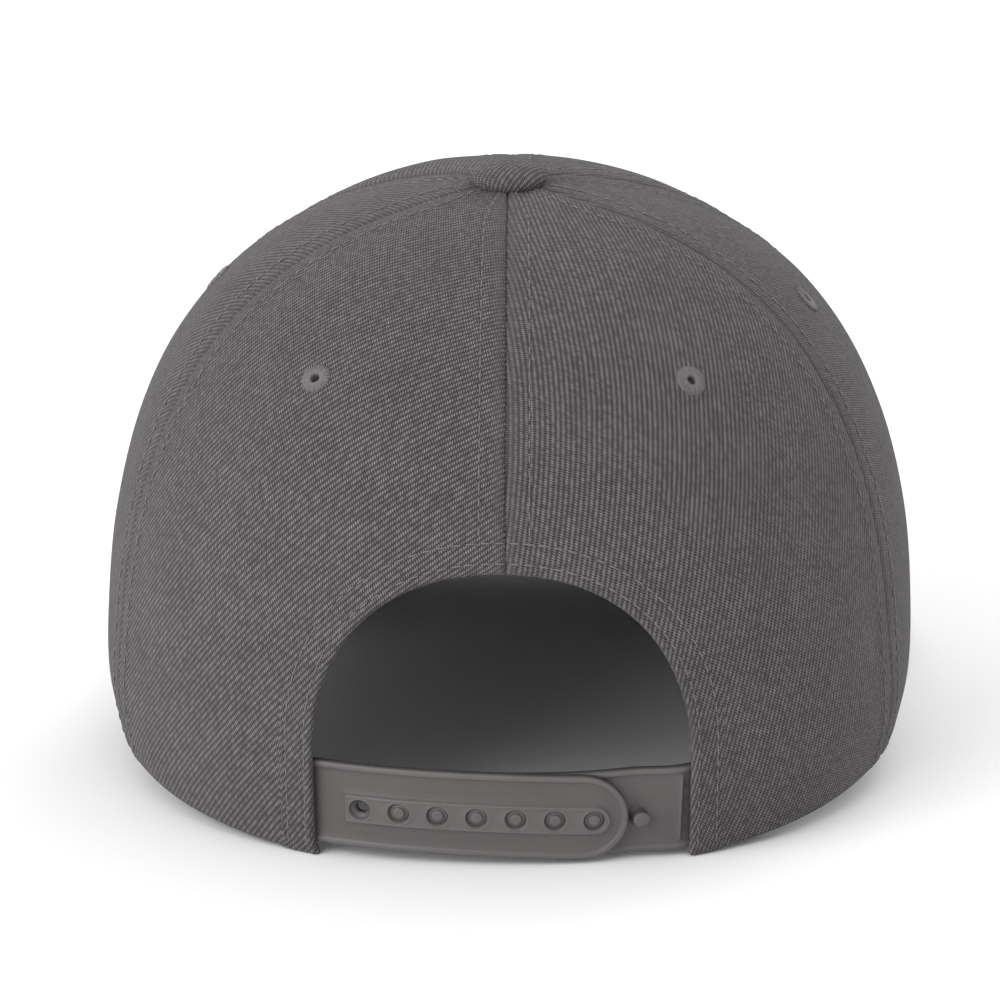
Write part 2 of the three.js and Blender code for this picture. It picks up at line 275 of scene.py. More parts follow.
HEIGHT_STEPS = np.linspace(0, 1, 2001)
HEIGHT_TABLE = CROWN_HEIGHT * section(HEIGHT, HEIGHT_STEPS)


def share_at_height(height):
    """Share of the section table at a height above the rim."""
    return np.interp(height, HEIGHT_TABLE, HEIGHT_STEPS)


def angle_at_side(side, height):
    """Angle from the middle of the back where the crown is side millimetres to the right."""
    half_width = CROWN_HALF_WIDTH * section(WIDTH, share_at_height(height))
    return np.sign(side) * np.arcsin(np.clip(np.abs(side) / half_width, 0, 1) ** (PLAN_EXPONENT / 2))


def on_back(x, z):
    """Angle and share of the point of the back of the crown that is seen at x, z from behind."""
    share = share_at_height(z)
    for _ in range(3):
        angle = angle_at_side(x, CROWN_HEIGHT * section(HEIGHT, share))
        rise = RIM_RISE * (1 - np.cos(angle)) / 2 * (1 - share) ** 2
        share = share_at_height(np.asarray(z) - rise)
    return angle, share


def seam_side(height):
    """How far to the right the centre seam lies at a height."""
    return mean_point(BACK_SEAM, share_at_height(height))[..., 0]


def turned(points):
    """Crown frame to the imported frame's directions, in millimetres and not yet moved."""
    points = np.asarray(points, float)
    cos, sin = math.cos(CROWN_TILT), math.sin(CROWN_TILT)
    y = points[..., 1] * cos - points[..., 2] * sin
    z = points[..., 1] * sin + points[..., 2] * cos
    return np.stack([points[..., 0], y, z], axis=-1)


def peak_rim(spread):
    angle = math.pi - np.asarray(spread) * (math.pi - FRONT_SEAM)
    share = share_at_height(PEAK_ABOVE_RIM)
    return mean_point(angle, share) + crown_normal(angle, share) * CLEARANCE


def peak_point(spread, out, drop=0.0):
    """Top face of the peak, out millimetres from the rim, or drop millimetres under it."""
    rim = peak_rim(spread)
    heading = spread * PEAK_FAN
    x = rim[..., 0] + np.sin(heading) * out
    y = rim[..., 1] + np.cos(heading) * out
    fall = PEAK_SLOPE * (y - rim[..., 1]) + PEAK_ARCH * (x ** 2 - rim[..., 0] ** 2)
    return np.stack([x, y, rim[..., 2] - fall - drop], axis=-1)


def peak_reach(spread):
    return PEAK_END_REACH + (PEAK_REACH - PEAK_END_REACH) * (1 - np.abs(spread) ** 2.6) ** 0.6


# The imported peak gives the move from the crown's frame: its tip and the top of its rim
peak_box = [np.array(corner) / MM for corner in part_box("peak")]
peak_tip = turned(peak_point(np.array(0.0), PEAK_REACH))
peak_root = turned(peak_rim(np.array(0.0)))
MOVE = np.array([0, peak_box[1][1] - peak_tip[1], peak_box[1][2] - peak_root[2]])


def placed(points):
    """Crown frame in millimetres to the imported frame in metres."""
    return (turned(points) + MOVE) * MM


# Meshes

def add_piece(name, points, faces, material, replaces=(), uvs=None):
    """A smooth mesh piece from points in the crown's frame, riding on the part."""
    mesh = bpy.data.meshes.new(name)
    mesh.from_pydata(placed(points).reshape(-1, 3).tolist(), [], [list(map(int, face)) for face in faces])
    mesh.update()
    mesh.shade_smooth()
    corners = np.empty(len(mesh.loops), dtype=np.int32)
    mesh.loops.foreach_get("vertex_index", corners)
    for layer_name, values in (uvs or {}).items():
        layer = mesh.uv_layers.new(name=layer_name)
        flat = np.asarray(values, dtype=np.float32).reshape(-1, 2)[corners]
        layer.data.foreach_set("uv", flat.ravel())
    mesh.materials.append(material)
    piece = bpy.data.objects.new(name, mesh)
    bpy.context.scene.collection.objects.link(piece)
    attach(piece, "root")
    if replaces:
        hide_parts(*replaces)


def grid_faces(rows, columns, around_rows=False, around_columns=False):
    """Quads of a grid whose points are stored row by row."""
    row = np.arange(rows if around_rows else rows - 1)
    column = np.arange(columns if around_columns else columns - 1)
    row, column = np.meshgrid(row, column, indexing="ij")
    next_row, next_column = (row + 1) % rows, (column + 1) % columns
    corners = [row * columns + column, row * columns + next_column,
               next_row * columns + next_column, next_row * columns + column]
    return np.stack(corners, axis=-1).reshape(-1, 4)


class Pile:
    """Small meshes gathered into one piece."""

    def __init__(self):
        self.points = []
        self.faces = []
        self.uvs = []
        self.relief = []
        self.count = 0

    def add(self, points, faces, uvs, relief=None):
        points = np.asarray(points, float).reshape(-1, 3)
        self.points.append(points)
        self.faces.extend((np.asarray(face) + self.count).tolist() for face in faces)
        self.uvs.append(np.asarray(uvs).reshape(-1, 2))
        if relief is not None:
            self.relief.append(relief.reshape(-1, 2))
        self.count += len(points)

    def piece(self, name, material, slot, replaces=()):
        uvs = {"cloth": np.concatenate(self.uvs)}
        if self.relief:
            uvs["relief"] = np.concatenate(self.relief)
        add_piece(name, np.concatenate(self.points), self.faces, material, replaces, uvs)


# Thread

def add_thread(pile, path, normals, radius, sides=6):
    """A round thread along a path, drawn in at both ends."""
    path = np.asarray(path, float)
    along = unit(np.gradient(path, axis=0))
    beside = unit(np.cross(along, normals))
    above = np.cross(beside, along)
    taper = radius * np.sqrt(np.clip(1 - np.linspace(-1, 1, len(path)) ** 6, 0.05, 1))
    turn = ring_angles(sides)
    spokes = beside[:, None] * np.cos(turn)[None, :, None] + above[:, None] * np.sin(turn)[None, :, None]
    points = path[:, None] + spokes * taper[:, None, None]
    faces = grid_faces(len(path), sides, around_columns=True)[:, ::-1].tolist()
    last = (len(path) - 1) * sides
    faces.append(list(range(sides)))
    faces.append([last + side for side in reversed(range(sides))])
    distance = np.linalg.norm(path - path[0], axis=1)
    uvs = np.stack(np.broadcast_arrays(turn[None, :] * radius, distance[:, None]), axis=-1)
    pile.add(points, faces, uvs)


def add_stitches(pile, path, normals, pitch=STITCH_PITCH, length=STITCH_LENGTH, radius=THREAD_RADIUS):
    """Stitches along a path on the cloth, each dipping into it at both ends."""
    path = np.asarray(path, float)
    distance = path_length(path)
    count = int(distance[-1] / pitch)
    sample = np.linspace(-0.5, 0.5, 7)
    height = radius * (1.0 - 6 * sample ** 2)
    for stitch in range(count):
        at = (stitch + 0.5) * distance[-1] / count + sample * length
        centre = along_path(at, distance, path)
        normal = unit(along_path(at, distance, normals))
        add_thread(pile, centre + normal * height[:, None], normal, radius)


# Arch of the back

def arch_path():
    """Arch from its left foot over the top to its right foot: points and outward normals in x, z."""
    straight = np.linspace(0, ARCH_SPRING, 60, endpoint=False)
    turn = np.linspace(math.pi, 0, 801)
    x = ARCH_HALF_WIDTH * signed_power(np.cos(turn), 2 / ARCH_EXPONENT)
    z = ARCH_SPRING + (ARCH_HEIGHT - ARCH_SPRING) * np.abs(np.sin(turn)) ** (2 / ARCH_EXPONENT)
    left = np.stack([np.full_like(straight, -ARCH_HALF_WIDTH), straight], axis=-1)
    dense = np.concatenate([left, np.stack([x, z], axis=-1), left[::-1] * np.array([-1, 1])])
    dense[:, 0] += ARCH_CENTRE
    return dense, path_length(dense)


def arch_points(at):
    """Points and normals of the arch at distances along it."""
    dense, distance = arch_path()
    along = unit(along_path(at + 0.5, distance, dense) - along_path(at - 0.5, distance, dense))
    return along_path(at, distance, dense), np.stack([-along[:, 1], along[:, 0]], axis=-1)


def arch_distance(points):
    """Distance of crown points from the edge of the arch, negative in the opening."""
    _, distance = arch_path()
    outline, _ = arch_points(np.linspace(0.5, distance[-1] - 0.5, 400))
    flat = points.reshape(-1, 3)
    result = np.full(len(flat), 99.0)
    across = np.abs(flat[:, 0] - ARCH_CENTRE)
    near = (flat[:, 1] < -30) & (across < ARCH_HALF_WIDTH + 12) & (flat[:, 2] < ARCH_HEIGHT + 12)
    seen = flat[near][:, [0, 2]]
    gap = np.linalg.norm(seen[:, None] - outline[None], axis=-1).min(axis=1)
    rise = np.clip((seen[:, 1] - ARCH_SPRING) / (ARCH_HEIGHT - ARCH_SPRING), 0, None)
    inside = (across[near] / ARCH_HALF_WIDTH) ** ARCH_EXPONENT + rise ** ARCH_EXPONENT < 1
    result[near] = np.where(inside, -gap, gap)
    return result.reshape(points.shape[:-1])


# Cloth of the panels

def seam_relief(distance, dip):
    """The cloth dips into a seam and rises over the folded edges beside it."""
    ridge = 0.22 * smooth(distance, 0.3, 1.6) * (1 - smooth(distance, 5.6, 7.8))
    return ridge - dip * bell(distance, 0, 0.5) - 0.17 * bell(distance, SEAM_STITCH, 0.5)


def cloth_pattern(angle, share, middle, hand):
    """Place in a panel's flat pattern, in millimetres, as on a cone rolled out at each height."""
    steps = np.linspace(0, 1, 13)
    arc_angles = middle + (np.asarray(angle)[..., None] - middle) * steps
    arc = mean_point(arc_angles, np.asarray(share)[..., None])
    across = np.sign(angle - middle) * np.linalg.norm(np.diff(arc, axis=-2), axis=-1).sum(axis=-1)
    rows = np.linspace(0, 0.998, 500)
    spine = mean_point(np.full_like(rows, middle), rows)
    climb = path_length(spine)
    radius = np.hypot(spine[:, 0], spine[:, 1])
    bend = np.clip(-np.gradient(radius, climb), -1, 1) / radius
    turn = np.interp(share, rows, bend) * across
    turn = np.where(np.abs(turn) < 1e-6, 1e-6, turn)
    along = np.interp(share, rows, climb) + across * (1 - np.cos(turn)) / turn
    sideways = across * np.sin(turn) / turn
    cos, sin = math.cos(CLOTH_TURN[hand]), math.sin(CLOTH_TURN[hand])
    return np.stack([sideways * cos - along * sin, sideways * sin + along * cos], axis=-1)


# Distances from a seam where a panel has columns
NEAR_SEAM = np.array([0, 0.18, 0.36, 0.55, 0.8, 1.15, 1.6, 2.1, 2.7, 3.3, 3.9, 4.4, 4.8, 5.05, 5.3,
                      5.55, 5.8, 6.2, 6.7, 7.3, 7.9, 8.6])


def seam_scale(width):
    """How far the folded edges of a panel shrink where it is narrow."""
    return np.minimum(1, 0.42 * width / NEAR_SEAM[-1])


def panel_columns(shares, start, end, middle_columns):
    """Angles of the columns of a panel, row by row, with their distances from its two seams."""
    fine = np.linspace(start, end, 160)
    arc = mean_point(fine[None, :], shares[:, None])
    lengths = rows_length(arc)
    width = lengths[:, -1:]
    near = NEAR_SEAM[None, :] * seam_scale(width)
    spread = np.linspace(0, 1, middle_columns + 2)[1:-1]
    between = near[:, -1:] + (width - 2 * near[:, -1:]) * spread[None, :]
    from_start = np.concatenate([near, between, width - near[:, ::-1]], axis=1)
    angles = np.array([np.interp(row, length, fine) for row, length in zip(from_start, lengths)])
    return angles, from_start, width - from_start, width


# How far a panel's side wall sinks into the seam, where its cloth stops under the arch's band and
# under an eyelet, and the seam distance of cloth that is far from any seam
SEAM_WALL = 1.3
UNDER_BAND = 2.4
UNDER_EYELET = 2.4
NO_SEAM = 99
FAR_FROM_SEAM = 50


def with_sides(grid):
    """A grid with its first and last columns repeated, for the walls into the seams."""
    return np.concatenate([grid[:, :1], grid, grid[:, -1:]], axis=1)


def build_panel(hand, part, start, end, eyelet_angle, material, dips):
    """One panel: inner face, rolled rim and outer face in one sheet, open behind the band of the arch."""
    outer_rows, inner_rows, middle_columns = 165, 50, 60
    roll = np.radians(np.linspace(180, 0, 11))
    shares = np.concatenate([
        np.linspace(TOP_SHARE, share_at_height(EDGE * 1.6), inner_rows),
        share_at_height(EDGE * (1 - np.sin(roll))),
        np.linspace(share_at_height(EDGE * 1.5), TOP_SHARE, outer_rows),
    ])
    inner_lifts = -CLOTH_WALL - 0.4 * (1 - smooth(shares[:inner_rows], 0.05, 0.12))
    lifts = np.concatenate([inner_lifts, -EDGE * (1 - np.cos(roll)), np.zeros(outer_rows)])
    outside = np.concatenate([np.zeros(inner_rows), np.cos(roll / 2) ** 2, np.ones(outer_rows)])[:, None]
    angles, to_start, to_end, width = panel_columns(shares, start, end, middle_columns)
    share_grid = np.broadcast_to(shares[:, None], angles.shape)
    scale = seam_scale(width)
    nearest = np.minimum(to_start, to_end)
    dip = np.where(to_start < to_end, *dips)
    relief = seam_relief(nearest / scale, dip)
    pucker = 0.07 * np.sin(share_grid * 150 + np.where(to_start < to_end, 0, 2))
    pucker = pucker * bell(nearest, 7, 4)
    base = mean_point(angles, share_grid)
    gap = arch_distance(base)
    relief = relief + pucker - 0.35 * (1 - smooth(gap, 5.8, 7.4))
    inner_dents = dents(angles, share_grid) * smooth(share_grid, 0.2, 0.4)
    dent = dents(angles, share_grid) * outside + inner_dents * (1 - outside)
    points = smooth_point(angles, share_grid, lifts[:, None] + dent + relief * outside)
    pattern = cloth_pattern(angles, share_grid, (start + end) / 2, hand)

    # A wall into the seam at both sides
    sides = [0, -1]
    sunk_lift = lifts[:, None] + dent[:, sides] - SEAM_WALL * outside
    sunk = smooth_point(angles[:, sides], share_grid[:, sides], sunk_lift)
    points = np.concatenate([sunk[:, :1], points, sunk[:, 1:]], axis=1)
    pattern, gap, nearest, dip = map(with_sides, (pattern, gap, nearest, dip))
    eyelet = smooth_point(np.array(eyelet_angle), np.array(EYELET_SHARE))
    cut = (gap < UNDER_BAND) | (np.linalg.norm(points - eyelet, axis=-1) < UNDER_EYELET)
    faces = grid_faces(*gap.shape)
    faces = faces[~cut.ravel()[faces].any(axis=1)]
    used, corners = np.unique(faces, return_inverse=True)
    # The edges layer holds the seam distance, moved 0.3 mm out at all but the centre seam so the painted
    # seam shade dots fall only there, and the distance from the arch
    seam_distance = np.where(outside > 0.5, nearest + np.where(dip < SEAM_DIP, 0.3, 0), NO_SEAM)
    edges = np.stack([seam_distance, gap], axis=-1)
    add_piece(f"cloth_{part}_{hand}", points.reshape(-1, 3)[used], corners.reshape(-1, 4), material,
              (f"panel_{part}_{hand}",), {
                  "cloth": pattern.reshape(-1, 2)[used],
                  "edges": edges.reshape(-1, 2)[used],
              })


# Folded band of the arch: where its fold starts, and how deep its inner face lies
FOLD_START = 0.9
BAND_DEPTH = 1.85


def band_lift(distance):
    """Height of the outer face of the folded band at a distance from the edge of the arch."""
    rise = 0.16 - 0.26 * smooth(distance, 6.9, ARCH_BAND)
    first = 0.13 * bell(distance, ARCH_STITCHES[0], 0.45)
    second = 0.16 * bell(distance, ARCH_STITCHES[1], 0.5)
    return rise - first - second + 0.14 * bell(distance, FOLD_START, 0.7)


def band_rows():
    """Distances along the arch left and right of the centre seam, closer beside it."""
    dense, distance = arch_path()
    seam = np.interp(seam_side(ARCH_HEIGHT), dense[:, 0], distance)
    near = np.linspace(0, 3, 16)
    left = np.linspace(EDGE, seam - 3, 110, endpoint=False)
    right = np.linspace(distance[-1] - EDGE, seam + 3, 110, endpoint=False)
    return np.concatenate([left, seam - near[::-1]]), np.concatenate([seam + near, right[::-1]])


def build_arch_band(material):
    """The folded edge of the arch, from its stitches outside round the fold to the inside."""
    left_rows, right_rows = band_rows()
    feet = np.radians(np.linspace(0, 90, 6, endpoint=False))
    foot = EDGE * (1 - np.cos(feet))
    full = np.ones(len(left_rows) + len(right_rows))
    thickness = np.concatenate([np.sin(feet), full, np.sin(feet)[::-1]])
    at = np.concatenate([foot, left_rows, right_rows, arch_path()[1][-1] - foot[::-1]])
    rows, normals = arch_points(at)
    left_count = len(foot) + len(left_rows)

    # Profile: distance from the edge, lift, and distance along the cloth for its pattern
    outer = np.concatenate([np.linspace(ARCH_BAND, 2.6, 26), np.linspace(2.4, FOLD_START, 11)])
    turn = half_turn(13)[1:-1]
    outer_lift = band_lift(outer)
    radius = (outer_lift[-1] + BAND_DEPTH) / 2
    inner = np.linspace(FOLD_START, 7.5, 9)
    distances = np.concatenate([outer, FOLD_START * (1 - np.sin(turn)), inner])
    fold_lift = outer_lift[-1] - radius * (1 - np.cos(turn))
    lifts = np.concatenate([outer_lift, fold_lift, np.full(9, -BAND_DEPTH)])
    cloth = np.concatenate([outer, FOLD_START - radius * turn, 2 * FOLD_START - radius * math.pi - inner])
    outside = np.concatenate([np.ones(len(outer)), np.cos(turn / 2) ** 2, np.zeros(9)])

    # Nearly square lower corners, where the fold spreads a little under the strap
    rounding = 1.2
    under = np.clip(rounding - rows[:, 1], 0, rounding)
    corner = rounding - np.sqrt(rounding ** 2 - under ** 2)
    on_left = np.arange(len(rows)) < left_count
    legs = np.where(on_left, *LEG_SPREAD) * (1 - smooth(rows[:, 1], 22, 46))
    corner = (corner + legs - np.where(on_left, *FOOT_SPREAD) * bell(rows[:, 1], 0, 1.9))[:, None]
    shift = corner + distances[None, :] * (1 - corner / ARCH_BAND)
    seen = rows[:, None] + normals[:, None] * shift[..., None]
    flat = rows[:, None] + normals[:, None] * (corner + cloth[None, :])[..., None]
    angle, share = on_back(seen[..., 0], np.maximum(seen[..., 1], 0))
    from_seam = np.abs(seen[..., 0] - seam_side(seen[..., 1]))
    seam = np.where(rows[:, 1:] > ARCH_SPRING, from_seam, FAR_FROM_SEAM)
    seam_drop = seam_relief(seam, SEAM_DIP) * outside[None, :]
    middle_lift = -0.75
    lift = middle_lift + (lifts[None, :] - middle_lift) * thickness[:, None] + seam_drop
    points = smooth_point(angle, share, lift + dents(angle, share) * outside[None, :])
    flat_angle, flat_share = on_back(flat[..., 0], np.maximum(flat[..., 1], 0))
    pattern = [
        cloth_pattern(flat_angle[part], flat_share[part], (BACK_SEAM + side * SIDE_SEAM) / 2, hand)
        for part, side, hand in ((slice(left_count), -1, "left"), (slice(left_count, None), 1, "right"))
    ]
    add_piece("cloth_arch_band", points, grid_faces(*lift.shape), material, (), {
        "cloth": np.concatenate(pattern),
        "edges": np.stack([seam, np.broadcast_to(distances, seam.shape)], axis=-1),
    })


def seam_line(seam_angle, side, low, high):
    """Path of the stitches on one side of a seam, with the normals of the cloth."""
    share = np.linspace(low, high, 200)
    step = 0.01
    arc = mean_point(seam_angle + step, share) - mean_point(seam_angle, share)
    per_angle = np.linalg.norm(arc, axis=-1) / step
    distance = SEAM_STITCH * seam_scale(per_angle * math.radians(56))
    angle = seam_angle + side * distance / per_angle
    lift = seam_relief(SEAM_STITCH, 0) + (0.04 if abs(seam_angle) < SIDE_SEAM + 0.1 else -0.06)
    return crown_point(angle, share, lift), crown_normal(angle, share)


def build_crown_stitches(material):
    pile = Pile()
    top = 0.968
    rim_share = share_at_height(1.8)
    for seam_angle in (-FRONT_SEAM, -SIDE_SEAM, SIDE_SEAM, FRONT_SEAM, math.pi):
        for side in (-1, 1):
            add_stitches(pile, *seam_line(seam_angle, side, rim_share, top))
    arch_share = share_at_height(ARCH_HEIGHT + ARCH_STITCHES[1] + 0.8)
    for side in (-1, 1):
        add_stitches(pile, *seam_line(BACK_SEAM, side, arch_share, top))
    length = arch_path()[1][-1]
    for distance in ARCH_STITCHES:
        at = np.linspace(2.2, length - 2.2, 300)
        rows, normals = arch_points(at)
        seen = rows + normals * distance
        angle, share = on_back(seen[:, 0], seen[:, 1])
        seam = np.where(rows[:, 1] > ARCH_SPRING, np.abs(seen[:, 0] - seam_side(seen[:, 1])), 99)
        lift = band_lift(distance) + seam_relief(seam, SEAM_DIP) + 0.02
        add_stitches(pile, crown_point(angle, share, lift), crown_normal(angle, share))
    pile.piece("stitches_crown", material, "thread")


# Turned pieces that stand on the crown

def lathe(profile, sides):
    """Points of a profile of (radius, height) turned round the local z axis, and their faces."""
    profile = np.asarray(profile, float)
    turn = ring_angles(sides)
    points = np.stack(np.broadcast_arrays(
        profile[:, :1] * np.cos(turn), profile[:, :1] * np.sin(turn), profile[:, 1:]), axis=-1)
    return points, grid_faces(len(profile), sides, around_columns=True)


def stand(points, angle, share):
    """Local points to the crown: x along it, y up it and z along its outward normal."""
    normal = crown_normal(angle, share)
    climb = crown_point(angle, share + 0.004) - crown_point(angle, share - 0.004)
    right = unit(np.cross(climb, normal))
    up = np.cross(normal, right)
    x, y, z = (points[..., axis, None] for axis in range(3))
    return crown_point(angle, share) + x * right + y * up + z * normal


def build_eyelet(name, angle, material, random):
    """A hole worked over with thread: a flat ring under many stitches laid across it."""
    pile = Pile()
    profile = [
        (EYELET_HOLE * 1.25, -2.1), (EYELET_HOLE * 1.15, -1.2), (EYELET_HOLE, -0.35), (EYELET_HOLE, 0.05),
        (1.3, 0.2), (1.9, 0.28), (2.5, 0.25), (3.0, 0.14), (3.4, -0.05), (3.5, -0.4),
    ]
    points, faces = lathe(profile, 40)
    place = np.array(angle), np.array(EYELET_SHARE)
    ring_uv = np.stack([points[..., 0], points[..., 1]], axis=-1)
    pile.add(stand(points, *place), faces[:, ::-1], ring_uv)
    threads = 44
    inward = np.linspace(0, 1, 9)
    for thread in range(threads):
        turn = (thread + random.uniform(-0.25, 0.25)) * 2 * math.pi / threads
        outer = EYELET_RADIUS + random.uniform(-0.4, 0.15)
        radius = outer + (EYELET_HOLE * 0.98 - outer) * inward ** 0.9
        skew = turn + 0.05 * inward
        height = 0.34 * np.sin(np.pi * np.clip(inward * 0.78 + 0.04, 0, 1)) ** 0.7 + 0.02
        height[-1] -= 0.3
        height[0] -= 0.16
        line = np.stack([radius * np.cos(skew), radius * np.sin(skew), height], axis=-1)
        normals = np.broadcast_to(crown_normal(*place), line.shape)
        add_thread(pile, stand(line, *place), normals, 0.19 + random.uniform(-0.03, 0.03), sides=5)
    pile.piece(name.replace("eyelet", "thread_ring"), material, "thread", (name,))


def build_button(material):
    """A metal button covered with cloth, gathered under its edge."""
    sides = 120
    turn = np.radians(np.linspace(0, 90, 24))
    height = BUTTON_HEIGHT * (0.25 + 0.75 * np.sin(turn))
    dome = np.stack([BUTTON_RADIUS * np.cos(turn) ** 0.9, height], axis=-1)
    dome[-1, 0] = 0.02
    skirt = np.array([(0.8, -1.1), (0.9, -0.7), (0.965, 0.0), (0.99, 0.5)])
    profile = np.concatenate([skirt * (BUTTON_RADIUS, 1), dome])
    points, faces = lathe(profile, sides)
    around = ring_angles(sides)
    gathers = 0.14 * np.sin(around * 19 + 0.7 * np.sin(around * 3))
    gathers = gathers * (1 - smooth(profile[:, 1], -0.4, 1.6))[:, None]
    spokes = np.stack([np.cos(around), np.sin(around)], axis=-1)
    points[..., :2] += gathers[..., None] * spokes
    run = path_length(profile)
    pattern = (run[-1] - run)[:, None, None] * spokes
    points[..., 2] += CROWN_HEIGHT + CLEARANCE
    add_piece("cloth_button", points, faces, material, ("button",), {
        "cloth": pattern,
        "edges": np.full(pattern.shape, FAR_FROM_SEAM),
    })


# Peak

def build_peak(material, thread):
    spreads = np.concatenate([[-1], np.linspace(-1, 1, 181), [1]])
    half = PEAK_WALL / 2
    turn = half_turn(11)
    inward = np.concatenate([np.full(50, 0.0), np.sin(turn), np.full(40, 0.0)])
    share = np.concatenate([np.linspace(0, 1, 50), np.ones(11), np.linspace(1, 0, 40)])
    drop = np.concatenate([np.zeros(50), half * (1 - np.cos(turn)), np.full(40, PEAK_WALL)])
    reach = peak_reach(spreads)
    root = -1.2
    out = root + (reach[None, :] - half - root) * share[:, None] + half * inward[:, None]
    drops = np.broadcast_to(drop[:, None], out.shape).copy()
    drops[:, [0, -1]] = half
    points = peak_point(np.broadcast_to(spreads, out.shape), out, drops)
    faces = grid_faces(*out.shape)[:, ::-1]
    add_piece("cloth_peak", points, faces, material, ("peak",), {
        "cloth": points[..., :2],
        "edges": np.full(points.shape[:-1] + (2,), FAR_FROM_SEAM),
    })

    # Rows of stitches that follow the outer edge, on both faces
    pile = Pile()
    outer_spread = np.linspace(-1, 1, 600)
    edge = peak_point(outer_spread, peak_reach(outer_spread))[:, :2]
    along = unit(np.gradient(edge, axis=0))
    inwards = np.stack([along[:, 1], -along[:, 0]], axis=-1)
    for row in range(PEAK_ROWS):
        line = edge + inwards * (5 + 6.8 * row)
        low, high = np.full(len(line), -1.0), np.full(len(line), 1.0)
        for _ in range(30):
            spread = (low + high) / 2
            away = line - peak_rim(spread)[:, :2]
            heading = spread * PEAK_FAN
            turned_past = away[:, 0] * np.cos(heading) > away[:, 1] * np.sin(heading)
            low, high = np.where(turned_past, spread, low), np.where(turned_past, high, spread)
        away = line - peak_rim(spread)[:, :2]
        out = away[:, 0] * np.sin(heading) + away[:, 1] * np.cos(heading)
        kept = (out > 2.5) & (np.abs(spread) < 0.985)
        if kept.sum() < 20:
            continue
        for drop, way in ((-0.03, 1), (PEAK_WALL + 0.03, -1)):
            path = peak_point(spread[kept], out[kept], drop)
            add_stitches(pile, path, np.broadcast_to((0.0, 0.0, way), path.shape))
    pile.piece("stitches_peak", thread, "thread")


# Straps

class Plate:
    """A flat sheet drawn with closed loops, each with its height on the outer and the inner face."""

    def __init__(self):
        self.flat = []
        self.heights = []
        self.edges = []

    def loop(self, points, outer, inner):
        first = len(self.flat)
        count = len(points)
        self.flat.extend(points)
        self.heights.extend([(outer, inner)] * count)
        self.edges.extend((first + step, first + (step + 1) % count) for step in range(count))
        return list(range(first, first + count))

    def fill(self, points, outer, inner):
        self.flat.extend(points)
        self.heights.extend([(outer, inner)] * len(points))

    def faces(self, outline, holes, keep):
        """Both faces with the walls that join them: points (along, above, height) and faces."""
        vectors = [Vector((float(x), float(y))) for x, y in self.flat]
        result = delaunay_2d_cdt(vectors, self.edges, [], 0, 1e-5)
        flat = np.array([tuple(vertex) for vertex in result[0]])
        place = {source: index for index, sources in enumerate(result[3]) for source in sources}
        heights = np.array([self.heights[sources[0]] if sources else (0, 0) for sources in result[3]])
        triangles = np.array(result[2])
        middles = flat[triangles].mean(axis=1)
        triangles = triangles[keep(middles)]
        first, second, third = (flat[triangles[:, corner]] for corner in range(3))
        area = np.cross(second - first, third - first)
        triangles = np.where(area[:, None] > 0, triangles, triangles[:, ::-1])
        count = len(flat)
        points = np.concatenate([np.column_stack([flat, heights[:, face]]) for face in range(2)])
        faces = triangles.tolist() + (triangles[:, ::-1] + count).tolist()
        levels = (0, 0.06, 0.5, 0.94, 1)
        for loop, inward in [(outline, False)] + [(hole, True) for hole in holes]:
            corners = [place[index] for index in loop]
            rings = [corners]
            for level in levels[1:-1]:
                below = points[[corner + count for corner in corners]]
                ring = points[corners] * (1 - level) + below * level
                rings.append(list(range(len(points), len(points) + len(ring))))
                points = np.concatenate([points, ring])
            rings.append([corner + count for corner in corners])
            for upper, lower in zip(rings, rings[1:]):
                for step in range(len(corners)):
                    after = (step + 1) % len(corners)
                    quad = [upper[step], lower[step], lower[after], upper[after]]
                    faces.append(quad[::-1] if inward else quad)
        return points, faces


def bar_loop(start, end, half, inset, step=0.8):
    """Outline of a bar with a square start and a round end, moved inwards, anticlockwise."""
    centre = end - half
    turn = np.linspace(-math.pi / 2, math.pi / 2, max(12, int(math.pi * half / step)))
    arc = np.stack([centre + (half - inset) * np.cos(turn), (half - inset) * np.sin(turn)], axis=-1)
    steps = max(2, int((centre - start) / step))
    run = np.linspace(start + inset, centre, steps)[:-1]
    lower = np.stack([run, np.full_like(run, -(half - inset))], axis=-1)
    upper = np.stack([run[::-1], np.full_like(run, half - inset)], axis=-1)
    side = np.linspace(half - inset, -(half - inset), max(3, int(2 * half / step)))[1:-1]
    close = np.stack([np.full_like(side, start + inset), side], axis=-1)
    return np.concatenate([lower, arc, upper, close])


def bar_depth(points, start, end, half):
    """How far inside a bar points lie."""
    centre = end - half
    along = points[:, 0] - centre
    round_end = half - np.hypot(along, points[:, 1])
    straight = np.minimum(half - np.abs(points[:, 1]), points[:, 0] - start)
    return np.where(along > 0, round_end, straight)


# Edge of a strap, with its bead: distance inside the outline, outer and inner height
STRAP_EDGE = (
    (0.0, -0.5, -1.1),
    (0.06, -0.2, -1.35),
    (0.2, 0.06, -1.52),
    (0.4, 0.18, -STRAP_WALL),
    (0.75, 0.22, -STRAP_WALL),
    (1.15, 0.2, -STRAP_WALL),
    (1.4, 0.1, -STRAP_WALL),
    (1.52, -0.05, -STRAP_WALL),
    (1.68, -0.14, -STRAP_WALL),
)
PLATE_FACE = -0.14
PLATE_MARGIN = 2.6

# Edge of the rail of holes: distance inside its outline and height
RAIL_EDGE = (
    (-0.28, PLATE_FACE), (-0.14, -0.06), (0.0, 0.2), (0.1, 0.5), (0.22, 0.74), (0.36, 0.86),
    (0.52, 0.88), (0.7, RAIL_PROUD),
)

# Mouth of a hole: radius and height
HOLE_MOUTH = (
    (2.82, RAIL_PROUD), (2.68, 0.87), (2.5, 0.87), (2.4, 0.76), (2.34, 0.5), (2.28, 0.2),
    (2.16, -0.04), (1.8, -0.3), (1.4, -0.58),
)
HOLE_THROAT = (1.28, -0.75)


